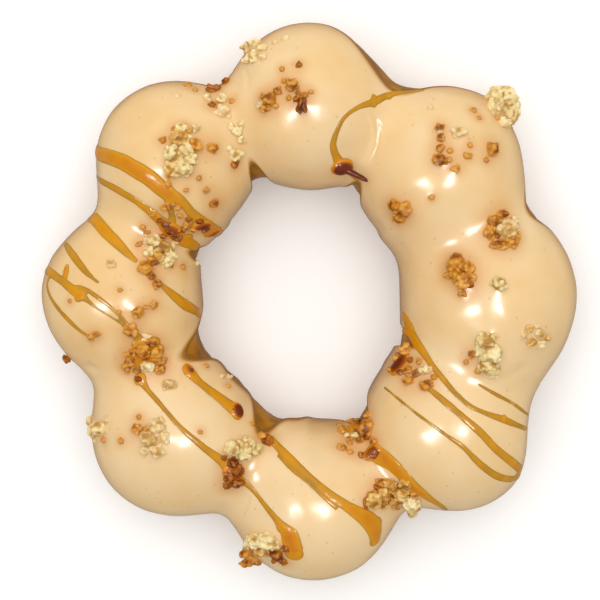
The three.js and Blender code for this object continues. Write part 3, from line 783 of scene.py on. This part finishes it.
# %% Where the crumble lies
CRUMBLE = {
    "pale": [
        (248, 48, 13, 12), (256, 44, 12, 10), (263, 48, 10, 9), (253, 57, 13, 12), (247, 60, 9, 8),
        (263, 57, 8, 7), (285, 39, 9, 6), (275, 42, 6, 5), (260, 104, 8, 7), (207, 98, 8, 8),
        (222, 99, 12, 10), (237, 131, 13, 11), (241, 139, 9, 8), (231, 126, 8, 7),
        (236, 155, 14, 12), (229, 148, 6, 6), (173, 153, 17, 17), (184, 151, 16, 18),
        (182, 168, 19, 18), (190, 160, 14, 14), (181, 128, 12, 10), (196, 128, 9, 8),
        (193, 153, 9, 8), (188, 140, 10, 10), (175, 175, 10, 7), (152, 241, 15, 12),
        (169, 255, 15, 14), (149, 252, 10, 11), (165, 264, 12, 8), (173, 244, 9, 8),
        (497, 97, 20, 20), (509, 100, 19, 20), (503, 111, 22, 20), (493, 108, 14, 18),
        (511, 114, 16, 18), (504, 123, 16, 10), (489, 100, 9, 11), (504, 90, 16, 9),
        (517, 108, 8, 14), (440, 132, 6, 5), (461, 283, 8, 7), (499, 284, 15, 13),
        (485, 341, 20, 18), (492, 353, 22, 20), (488, 365, 20, 18), (496, 369, 11, 12),
        (480, 350, 10, 14), (492, 337, 12, 9), (426, 370, 12, 10), (411, 502, 18, 18),
        (412, 512, 12, 13), (356, 436, 9, 8), (347, 436, 6, 6), (147, 366, 14, 11),
        (146, 336, 9, 7), (99, 428, 14, 14), (91, 421, 9, 12), (91, 432, 8, 10), (97, 438, 9, 8),
        (229, 377, 7, 5), (222, 376, 5, 5), (233, 448, 16, 16), (245, 446, 18, 18),
        (256, 450, 13, 12), (243, 456, 15, 10), (255, 540, 17, 16), (268, 541, 20, 18),
        (275, 545, 11, 10), (248, 545, 10, 10), (197, 263, 6, 5),
    ],
    "golden": [
        (373, 499, 17, 19), (390, 485, 18, 15), (400, 492, 20, 18), (384, 494, 18, 18),
        (396, 506, 13, 9), (405, 484, 12, 10), (383, 505, 10, 9), (163, 246, 15, 13),
        (157, 256, 15, 13), (262, 552, 15, 12), (178, 138, 18, 16), (171, 166, 13, 14),
        (529, 329, 10, 8), (531, 342, 12, 9), (547, 338, 8, 8), (240, 444, 11, 9),
    ],
    "glazed": [
        (506, 230, 21, 21), (514, 222, 10, 11), (539, 333, 13, 10), (540, 343, 12, 9),
        (524, 336, 7, 7), (536, 326, 8, 6), (458, 133, 15, 12), (111, 264, 10, 9),
        (223, 112, 15, 14), (169, 385, 16, 12), (156, 428, 19, 17), (150, 440, 20, 19),
        (157, 451, 15, 14), (145, 451, 12, 10), (163, 438, 11, 14), (160, 420, 9, 8),
        (108, 420, 8, 7), (104, 430, 9, 8), (147, 240, 9, 8), (492, 374, 14, 9), (430, 108, 7, 6),
        (242, 124, 9, 8), (178, 96, 8, 5),
    ],
    "toasted": [
        (292, 85, 12, 13), (298, 93, 7, 7), (277, 91, 9, 9), (270, 99.5, 14, 14), (266, 108, 11, 9),
        (282, 69, 5, 5), (284, 81, 5, 5), (263, 97, 7, 7), (289, 98, 5, 5), (305, 95, 6, 6),
        (311, 92, 5, 4), (276, 106, 6, 5), (188, 85, 9, 6), (195, 90, 5, 5), (212, 148, 13, 11),
        (232, 101, 6, 5), (216, 105, 6, 6), (194, 145, 14, 13), (174, 129, 7, 6), (184, 126, 6, 5),
        (189, 131, 6, 5), (163, 140, 8, 7), (170, 173, 7, 11), (188, 172, 7, 6), (177, 147, 7, 6),
        (183, 160, 6, 6), (213.5, 203, 11, 10), (206, 190, 7, 6), (199, 178, 5, 5),
        (168, 184, 7, 7), (170, 206, 9, 8), (164, 208, 7, 7), (178, 207, 7, 6), (187, 224, 9, 8),
        (193, 229, 8, 7), (180, 216, 7, 6), (153, 214, 7, 6), (147, 232, 9, 5), (143, 227, 6, 5),
        (177, 229, 8, 7), (151, 259, 8, 8), (146, 267, 15, 13), (151, 276, 9, 8), (139, 244, 7, 6),
        (157, 284, 10, 9), (138, 312, 12, 11), (154, 305, 9, 8), (160, 249, 6, 6), (170, 265, 8, 7),
        (183, 267, 5, 5), (120, 290, 5, 4), (91, 337, 8, 7), (97, 334, 7, 6), (145, 307, 8, 5),
        (131, 331, 14, 13), (119, 312, 5, 4), (124, 367, 6, 5), (70, 301, 4, 4), (473, 110, 7, 6),
        (440, 128, 9, 9), (441, 138, 8, 10), (440, 148, 9, 9), (440, 160, 14, 12), (456, 169, 9, 8),
        (467, 156, 9, 7), (492, 149, 14, 13), (431.5, 197, 6, 5), (450, 151, 6, 5),
        (479, 118, 5, 4), (486, 160, 6, 5), (449, 160, 6, 6), (470, 145, 5, 5), (499, 105, 6, 6),
        (497, 118, 6, 5), (494, 94, 5, 5), (512, 122, 7, 5), (396, 206, 14, 13), (405, 210, 14, 15),
        (400, 218, 14, 11), (493, 222, 13, 14), (502, 214, 14, 9), (490, 233, 11, 15),
        (499, 245, 17, 10), (512, 243, 13, 10), (517, 236, 7, 8), (456, 261, 16, 16),
        (466, 268, 14, 14), (465, 279, 20, 18), (455, 274, 14, 14), (450, 267, 8, 9),
        (463, 293, 9, 8), (447, 275, 7, 7), (472, 354, 9, 9), (466, 362, 5, 5), (478, 371, 6, 6),
        (406, 349, 14, 12), (427, 385, 14, 12), (409, 381, 13, 8), (416, 374, 9, 9),
        (434, 377, 6, 6), (419, 362, 7, 7), (399, 356, 8, 8), (367, 428, 16, 16), (358, 431, 9, 9),
        (344, 430, 12, 9), (354, 422, 13, 9), (349, 439, 8, 7), (360, 440, 10, 8), (339, 425, 7, 6),
        (408, 371, 10, 9), (391, 370, 8, 8), (397, 359, 9, 8), (369, 415, 9, 7), (374, 442, 9, 9),
        (342, 448, 10, 8), (350, 452, 6, 5), (350, 443, 5, 5), (381, 483, 14, 11),
        (414, 493, 10, 10), (392, 499, 10, 10), (405, 504, 7, 7), (417, 508, 7, 9),
        (137, 429, 12, 11), (121, 441, 6, 6), (104, 440, 6, 5), (139, 417, 5, 5), (146, 429, 6, 6),
        (154, 445, 6, 6), (129, 363, 12, 12), (143, 351, 16, 15), (157, 351, 15, 14),
        (160, 369, 12, 11), (134, 352, 10, 10), (155, 360, 9, 8), (138, 370, 9, 8),
        (152, 343, 10, 9), (127, 354, 7, 7), (164, 361, 7, 7), (127, 370, 7, 6), (265, 437, 12, 10),
        (251, 452, 6, 6), (238, 444, 6, 5), (247, 553, 14, 14), (256, 560, 15, 13),
        (246, 563, 13, 9), (253, 549, 9, 8), (206, 366, 5, 4), (228, 386, 5, 4), (252, 424, 5, 4),
        (200, 432, 5, 4), (186, 190, 5, 4),
    ],
    "soaked": [
        (160, 220, 8, 7), (170, 231, 10, 9), (178, 238, 9, 8), (199, 221, 9, 8), (205, 229, 9, 8),
        (188, 219, 7, 6), (163, 236, 8, 6), (67, 359, 9, 9), (138, 349, 8, 8), (148, 343, 9, 8),
        (299, 65, 6, 8), (301.5, 105, 10, 15), (296, 99, 7, 7), (213, 89, 14, 10), (226, 81, 8, 7),
        (212, 105, 8, 7), (234.5, 164, 9, 8), (166, 224, 10, 8), (174, 234, 10, 8),
        (183, 229, 9, 7), (200, 225, 9, 7), (154, 263, 9, 7), (401, 211, 8, 8), (509, 227, 7, 7),
        (497, 236, 6, 6), (458, 270, 10, 10), (470, 285, 9, 8), (461, 265, 7, 7), (361, 455, 8, 7),
        (374, 452, 13, 11), (367, 437, 8, 7), (366, 503, 8, 12), (377, 488, 9, 8),
        (267, 441, 13, 11), (232, 463, 14, 12), (238, 470, 14, 13), (229, 475, 13, 13),
        (236, 483, 14, 11), (227, 486, 9, 8), (277, 555, 15, 14), (283, 561, 9, 8),
        (285, 548, 9, 9), (144, 357, 9, 8), (132, 358, 7, 7), (155, 346, 7, 6), (401, 372, 8, 6),
        (411, 360, 7, 6), (190, 371, 8, 7), (342, 168, 9, 7), (139, 379, 8, 7), (234, 410, 7, 6),
        (223, 458, 7, 6),
    ],
}
print({kind: len(places) for kind, places in CRUMBLE.items()})

# %% Seat a copy
SWELL = 1.15  # what sinks in the glaze doesn't show, so each copy is this much larger
# The share of a copy's height that is sunk in the glaze, for each kind:
SINK = {"pale": 0.3, "golden": 0.3, "glazed": 0.42, "toasted": 0.36, "soaked": 0.34}
FLATTER = (0.75, 1.0)  # a copy's height as a share of its lesser width
SLANTING = 0.35  # keeps a copy on a steep side from sliding far along the view


def seat(model, u, v, wide, high, sink):
    ray = ray_through(u, v)
    place, normal, _, _ = glaze_tree.ray_cast(Vector(eye), ray)
    half = np.array([wide, high]) * SWELL * PIXEL / 2
    tall = half.min() * dice.uniform(*FLATTER)
    if place is None:  # past the outline, held by its inner side
        centre = half_way_down(ray)
        place, normal, _, _ = glaze_tree.find_nearest(centre)
    else:
        centre = place - ray * (tall * (1 - 2 * sink) / max(SLANTING, -normal.dot(ray)))
    copy = model.copy()
    copy.data = model.data.copy()
    bpy.context.scene.collection.objects.link(copy)
    copy.rotation_euler = dice.uniform(0, 2 * math.pi, 3)
    only(copy)
    bpy.ops.object.transform_apply(location=False, rotation=True, scale=False)
    copy.scale = (half[0] * MM, half[1] * MM, tall * MM)
    copy.location = centre * MM
    return copy, place, normal, half.mean()


# %% Scatter the copies
BIG, MIDDLE, SMALL = 17, 10, 7  # pixels across, from which a lump of that size is copied
SHADES = 0.07  # how much darker or lighter a copy may be


def scatter(kind):
    copies, seats = [], []
    for u, v, wide, high in CRUMBLE[kind]:
        size = max(wide, high)
        models = (big_lumps if size >= BIG else middle_lumps if size >= MIDDLE
                  else small_lumps if size >= SMALL else bits)
        copy, *where = seat(models[dice.integers(len(models))], u, v, wide, high, SINK[kind])
        shade = dice.uniform(-SHADES, SHADES)
        keep_attribute(copy, "shade", np.full(len(copy.data.vertices), shade))
        copies.append(copy)
        seats.append((kind, *where))
    piece = joined(copies, f"crumble_{kind}")
    bpy.ops.object.shade_smooth()
    keep_attribute(piece, "rise", [rise_over(glaze_tree, p)[0] for p in points_of(piece)])
    report(piece)
    return piece, seats


crumble, seats = {}, []
for kind in CRUMBLE:
    crumble[kind], more = scatter(kind)
    seats += more
for model in big_lumps + middle_lumps + small_lumps + bits:
    bpy.data.objects.remove(model)

# %% [markdown]
# Wet glaze climbs a little way up whatever falls in it. So the glaze and the caramel are raised
# in a soft ring round each lump, which also hides the straight cut where two meshes cross.

# %% Let the glaze climb the lumps
CLIMB = 0.15  # of a lump's half width
HIGHEST = 0.5  # mm that a point is raised at most
FAR = 2.5  # half widths from a lump, past which nothing is raised


def climb(piece):
    points = points_of(piece)
    before = points.copy()
    for _, place, normal, half in seats:
        off = before - np.array(place)
        far = np.einsum("ij,ij->i", off, off)
        near = far < (FAR * half) ** 2
        rise = CLIMB * half * np.exp(-far[near] / half ** 2)
        points[near] += rise[:, None] * np.array(normal)
    moved = points - before
    length = np.linalg.norm(moved, axis=1, keepdims=True)
    put_points(piece, before + moved * np.minimum(1, HIGHEST / np.maximum(length, 1e-9)))
    print(piece.name, "climbs", round(min(length.max(), HIGHEST), 2), "mm at most")


climb(glaze)
climb(caramel)

# %% [markdown]
# Toasted and soaked crumbs bleed a little brown sugar into the wet glaze, so a warm stain
# surrounds each. How stained each point is becomes one more attribute of the glaze.

# %% Stains round the brown crumbs
STAIN_SPREAD, STAIN_LEAST = 1.5, 0.3  # its radius: half widths of the crumb, and mm more

points, stain = points_of(glaze), 0
for kind, place, normal, half in seats:
    if kind in ("toasted", "soaked"):
        far = np.linalg.norm(points - np.array(place), axis=1)
        stain = stain + np.exp(-(far / (STAIN_SPREAD * half + STAIN_LEAST)) ** 2)
keep_attribute(glaze, "stain", 1 - np.exp(-stain))
print("stained in part:", round(100 * (stain > 0.5).mean(), 1), "% of the glaze's points")


# %% [markdown]
# ## Finishes
# Every finish is a small tree of nodes on Blender's standard shader. One helper adds a node with
# its settings, and fills each socket with a value or a link. Colours are picked as sRGB hex
# values, as a picture program shows them, and one function turns them to the linear values that
# the shader works in. A pattern's scale is how many of its patches fit in a metre, so a comment
# beside it gives the size of a patch.

# %% Material helpers
def linear(code):
    channels = [int(code[i:i + 2], 16) / 255 for i in (1, 3, 5)]
    return [c / 12.92 if c <= 0.04045 else ((c + 0.055) / 1.055) ** 2.4 for c in channels] + [1]


def fill(tree, node, sockets):
    for name, value in sockets.items():
        if isinstance(value, bpy.types.NodeSocket):
            tree.links.new(value, node.inputs[name])
        else:
            node.inputs[name].default_value = value


def add(tree, kind, sockets=None, stops=(), **settings):
    node = tree.nodes.new("ShaderNode" + kind)
    for key, value in settings.items():
        setattr(node, key, value)
    if stops:  # the places and colours of a ramp
        elements = node.color_ramp.elements
        while len(elements) < len(stops):
            elements.new(0.5)
        for element, (position, code) in zip(elements, stops):
            element.position = position
            element.color = linear(code)
    fill(tree, node, sockets or {})
    return node


def new_finish(name):
    material = bpy.data.materials.new(name)
    material.use_nodes = True
    tree = material.node_tree
    tree.nodes.clear()
    shader = add(tree, "BsdfPrincipled")
    add(tree, "OutputMaterial", {"Surface": shader.outputs["BSDF"]})
    where = add(tree, "TexCoord").outputs["Object"]
    return material, tree, shader, where


def wear(piece, material):
    piece.data.materials.clear()
    piece.data.materials.append(material)
    print(piece.name, "wears", material.name, "of", len(material.node_tree.nodes), "nodes")


# %% [markdown]
# ### Sugar glaze
# White-chocolate glaze is a fat and sugar coating that sets smooth and shiny. Light enters it a
# millimetre or so and comes out warmer, which softens the shading. Where it ran thin at the lip it
# shows the tan dough; down the steep sides the same tan is painted shade. Some balls are warmer
# than others.

# %% Glaze finish
CLOUDS = 110  # 9 mm across
CLOUDY = 1.5  # how much they warm or cool the glaze
SPECKS = 420  # one to every 2.4 mm, and about half a millimetre across

glaze_finish, tree, shader, where = new_finish("set_sugar_glaze")
warmth = add(tree, "Attribute", attribute_name="warmth").outputs["Fac"]
thin_and_shaded = add(tree, "Attribute", attribute_name="thin_and_shaded").outputs["Fac"]
stained = add(tree, "Attribute", attribute_name="stain").outputs["Fac"]
cloud = add(tree, "TexNoise", {"Vector": where, "Scale": CLOUDS, "Detail": 3})
cloudy = add(tree, "Math", {0: cloud.outputs["Fac"], 1: CLOUDY, 2: -CLOUDY / 2},
             operation="MULTIPLY_ADD")
warm = add(tree, "Math", {0: warmth, 1: cloudy.outputs[0]}, operation="ADD")
base = add(tree, "ValToRGB", {"Fac": warm.outputs[0]},
           stops=[(0.0, "#ECCE9E"), (0.5, "#E9C58D"), (1.0, "#E5B878")])
specks = add(tree, "TexVoronoi", {"Vector": where, "Scale": SPECKS})
speck = add(tree, "MapRange", {"Value": specks.outputs["Distance"], "From Min": 0.05,
                               "From Max": 0.12, "To Min": 0.3, "To Max": 0.0})
tan = add(tree, "Math", {0: thin_and_shaded, 1: speck.outputs["Result"]}, operation="MAXIMUM")
mixed = base.outputs["Color"]
# The stain is real. The two tans show the thin coat at the lip, the specks, and painted shade down
# the steep sides.
for source, low, high, code in [(stained, 0.0, 1.5, "#D08A3C"),
                                (tan.outputs[0], 0.0, 0.8, "#C48E44"),
                                (tan.outputs[0], 0.55, 1.0, "#8E5C18")]:
    amount = add(tree, "MapRange", {"Value": source, "From Min": low, "From Max": high})
    mix = add(tree, "Mix", {"Factor": amount.outputs["Result"], 6: mixed, 7: linear(code)},
              data_type="RGBA")
    mixed = mix.outputs[2]
fill(tree, shader, {
    "Base Color": mixed,
    "Roughness": 0.22,
    "IOR": 1.46,
    "Subsurface Weight": 0.15,
    "Subsurface Radius": (1.0, 0.55, 0.25),
    "Subsurface Scale": 1.2 * MM,
})
wear(glaze, glaze_finish)

# %% [markdown]
# ### Fried crust
# The crust is browned by the oil: golden where it floated high, darker lower down, with fine
# blisters under a millimetre across.

# %% Crust finish
BROWNING = 220  # 4.5 mm across
BLISTERS = 1400  # 0.7 mm across

crust_finish, tree, shader, where = new_finish("fried_dough_crust")
patches = add(tree, "TexNoise", {"Vector": where, "Scale": BROWNING, "Detail": 5})
colour = add(tree, "ValToRGB", {"Fac": patches.outputs["Fac"]},
             stops=[(0.3, "#7A4A04"), (0.5, "#A26A06"), (0.68, "#BE8412")])
blisters = add(tree, "TexNoise", {"Vector": where, "Scale": BLISTERS, "Detail": 3})
relief = add(tree, "Bump", {"Height": blisters.outputs["Fac"], "Strength": 0.5,
                            "Distance": 0.15 * MM})
fill(tree, shader, {
    "Base Color": colour.outputs["Color"],
    "Roughness": 0.42,
    "Specular IOR Level": 0.3,
    "Normal": relief.outputs["Normal"],
})
wear(dough, crust_finish)

# %% [markdown]
# ### Caramel
# Boiled sugar is clear amber: gold where it lies thin, deep brown where it lies thick, and at its
# thin edge, where it wets the glaze, an olive-brown band of painted shade. The depth that was
# stored on the mesh, in millimetres, is the place on the ramp of colours.

# %% Caramel finish
STREAKS = 350  # 2.9 mm across
STREAKY = 0.3  # mm by which they change the depth

caramel_finish, tree, shader, where = new_finish("boiled_sugar_caramel")
depth = add(tree, "Attribute", attribute_name="depth").outputs["Fac"]
streaks = add(tree, "TexNoise", {"Vector": where, "Scale": STREAKS, "Detail": 2})
vary = add(tree, "Math", {0: streaks.outputs["Fac"], 1: STREAKY, 2: -STREAKY / 2},
           operation="MULTIPLY_ADD")
deep = add(tree, "Math", {0: depth, 1: vary.outputs[0]}, operation="ADD")
# The stop at 0.04 mm is painted shade: an olive-brown band along every edge.
colour = add(tree, "ValToRGB", {"Fac": deep.outputs[0]},
             stops=[(0.0, "#C8984A"), (0.04, "#A87A1E"), (0.11, "#BE861A"), (0.22, "#D4900C"),
                    (0.4, "#CE7E06"), (0.55, "#9C4A04"), (0.75, "#6A2402")])
fill(tree, shader, {
    "Base Color": colour.outputs["Color"],
    "Roughness": 0.18,
    "IOR": 1.45,
    "Specular IOR Level": 0.35,
    "Subsurface Weight": 0.1,
    "Subsurface Radius": (1.0, 0.45, 0.1),
    "Subsurface Scale": 0.4 * MM,
})
wear(caramel, caramel_finish)

# %% [markdown]
# ### Baked crumble
# Butter, sugar and flour baked dry: matt, grainy, full of tiny holes. The pale kind is the inside
# of a lump, the golden and toasted kinds its oven side, the glazed kind is softened by the glaze
# that ran over it, and the soaked kind drank caramel, so it shines. The holes between the grains
# get painted shade, and the foot of each lump takes the colour of the glaze that climbed it.

# %% Crumble finishes
GRAINS = 900  # 1.1 mm across
PATCHES = 420  # 2.4 mm across
HOLE_SHADE = 0.2  # how far down the ramp of colours the painted shade takes the floor of a hole
CRUMBLE_TONES = {  # dark, middle and light, the colour at the foot, the roughness
    "pale": ("#B4863E", "#E2C888", "#F2E2B0", "#E6C692", 0.7),
    "golden": ("#966014", "#CC9640", "#E8C67E", "#DCAE68", 0.6),
    "glazed": ("#BC8E44", "#E2C084", "#ECD2A0", "#EACB98", 0.3),
    "toasted": ("#84440A", "#C07A18", "#DC9E3E", "#D29440", 0.4),
    "soaked": ("#5A2404", "#8C4408", "#B06814", "#B06C14", 0.25),
}
for kind, (dark, middle, light, foot, roughness) in CRUMBLE_TONES.items():
    finish, tree, shader, where = new_finish(f"{kind}_cookie_crumble")
    pit_shade, shade, rise = [add(tree, "Attribute", attribute_name=name).outputs["Fac"]
                        for name in ("pit_shade", "shade", "rise")]
    grains = add(tree, "TexNoise", {"Vector": where, "Scale": GRAINS, "Detail": 4})
    patches = add(tree, "TexNoise", {"Vector": where, "Scale": PATCHES})
    tone = add(tree, "Math", {0: grains.outputs["Fac"], 1: patches.outputs["Fac"]},
               operation="ADD")
    half = add(tree, "Math", {0: tone.outputs[0], 1: 0.5}, operation="MULTIPLY")
    # Painted shade in the holes between the grains.
    lower = add(tree, "Math", {0: pit_shade, 1: -HOLE_SHADE, 2: half.outputs[0]},
                operation="MULTIPLY_ADD")
    shaded = add(tree, "Math", {0: lower.outputs[0], 1: shade}, operation="ADD")
    surface = add(tree, "ValToRGB", {"Fac": shaded.outputs[0]},
                  stops=[(0.24, dark), (0.42, middle), (0.58, light)])
    footing = add(tree, "MapRange", {"Value": rise, "From Min": 0.1, "From Max": 0.75})
    colour = add(tree, "Mix", {"Factor": footing.outputs["Result"], 6: linear(foot),
                               7: surface.outputs["Color"]}, data_type="RGBA")
    relief = add(tree, "Bump", {"Height": grains.outputs["Fac"], "Strength": 0.6,
                                "Distance": 0.2 * MM})
    fill(tree, shader, {
        "Base Color": colour.outputs[2],
        "Roughness": roughness,
        "Specular IOR Level": 0.25,
        "Normal": relief.outputs["Normal"],
    })
    wear(crumble[kind], finish)

# %% [markdown]
# ## Floor and light
# The doughnut lies on a plain near-white table that glows a little, as a light table does. A
# broad soft box overhead and an even room, brighter above than at the horizon, light it. Two
# small windows, a little to the left and right overhead, only show in the gloss: they are the
# pair of highlights on every ball. The broad box hangs a little towards the far side, so the
# near sides of the balls are deeper in colour.

# %% Floor
bpy.ops.object.select_all(action="DESELECT")
bpy.ops.mesh.primitive_plane_add(size=4)
floor = bpy.context.object
floor.name = "table_top"
floor.visible_glossy = False
floor_finish, tree, shader, _ = new_finish("white_table")
fill(tree, shader, {
    "Base Color": linear("#F8F7F5"),
    "Roughness": 0.9,
    "Emission Color": (1, 1, 1, 1),
    "Emission Strength": 0.15,
})
wear(floor, floor_finish)
floor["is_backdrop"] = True

# %% Lights
LAMP_DISTANCE = 0.9  # m


def softbox(name, direction, wide, high, power, in_gloss):
    data = bpy.data.lights.new(name, "AREA")
    data.shape = "RECTANGLE"
    data.size = wide
    data.size_y = high
    data.energy = power
    lamp = bpy.data.objects.new(name, data)
    way = Vector(direction).normalized()
    lamp.location = way * LAMP_DISTANCE
    lamp.rotation_euler = way.to_track_quat("Z", "Y").to_euler()
    lamp.visible_glossy = in_gloss
    lamp.visible_diffuse = not in_gloss
    lamp.visible_camera = False
    bpy.context.scene.collection.objects.link(lamp)
    print(name, wide, "by", high, "m,", power, "W")


softbox("window_left", (-0.36, -0.16, 0.90), 0.10, 0.26, 3.8, True)
softbox("window_right", (0.18, -0.08, 0.96), 0.14, 0.17, 3.6, True)
softbox("overhead", (-0.05, 0.5, 1.0), 1.1, 1.1, 5.5, False)

# %% The room
HORIZON, ZENITH = 0.3, 0.9  # how strongly the room glows there

world = bpy.data.worlds.new("even_room")
bpy.context.scene.world = world
world.use_nodes = True
tree = world.node_tree
direction = add(tree, "TexCoord").outputs["Generated"]
height = add(tree, "SeparateXYZ", {"Vector": direction}).outputs["Z"]
glow = add(tree, "MapRange", {"Value": height, "To Min": HORIZON, "To Max": ZENITH})
fill(tree, tree.nodes["Background"], {"Color": (1, 0.985, 0.96, 1),
                                      "Strength": glow.outputs["Result"]})
bpy.context.scene.view_settings.view_transform = "Standard"
print("the room glows", HORIZON, "at the horizon and", ZENITH, "straight above")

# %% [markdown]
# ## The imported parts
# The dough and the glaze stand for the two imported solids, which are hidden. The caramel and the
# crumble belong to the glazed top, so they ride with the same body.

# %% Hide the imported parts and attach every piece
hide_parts("dough")
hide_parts("icing")
for piece in [dough, glaze, caramel, *crumble.values()]:
    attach(piece, "root")

# %% Measure and finish
boxes = {"cad": [list(corner) for corner in cad_box],
         "visual": [list(corner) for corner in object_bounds()]}
for name, (low, high) in boxes.items():
    print(name, [round((b - a) / MM, 2) for a, b in zip(low, high)], "mm")
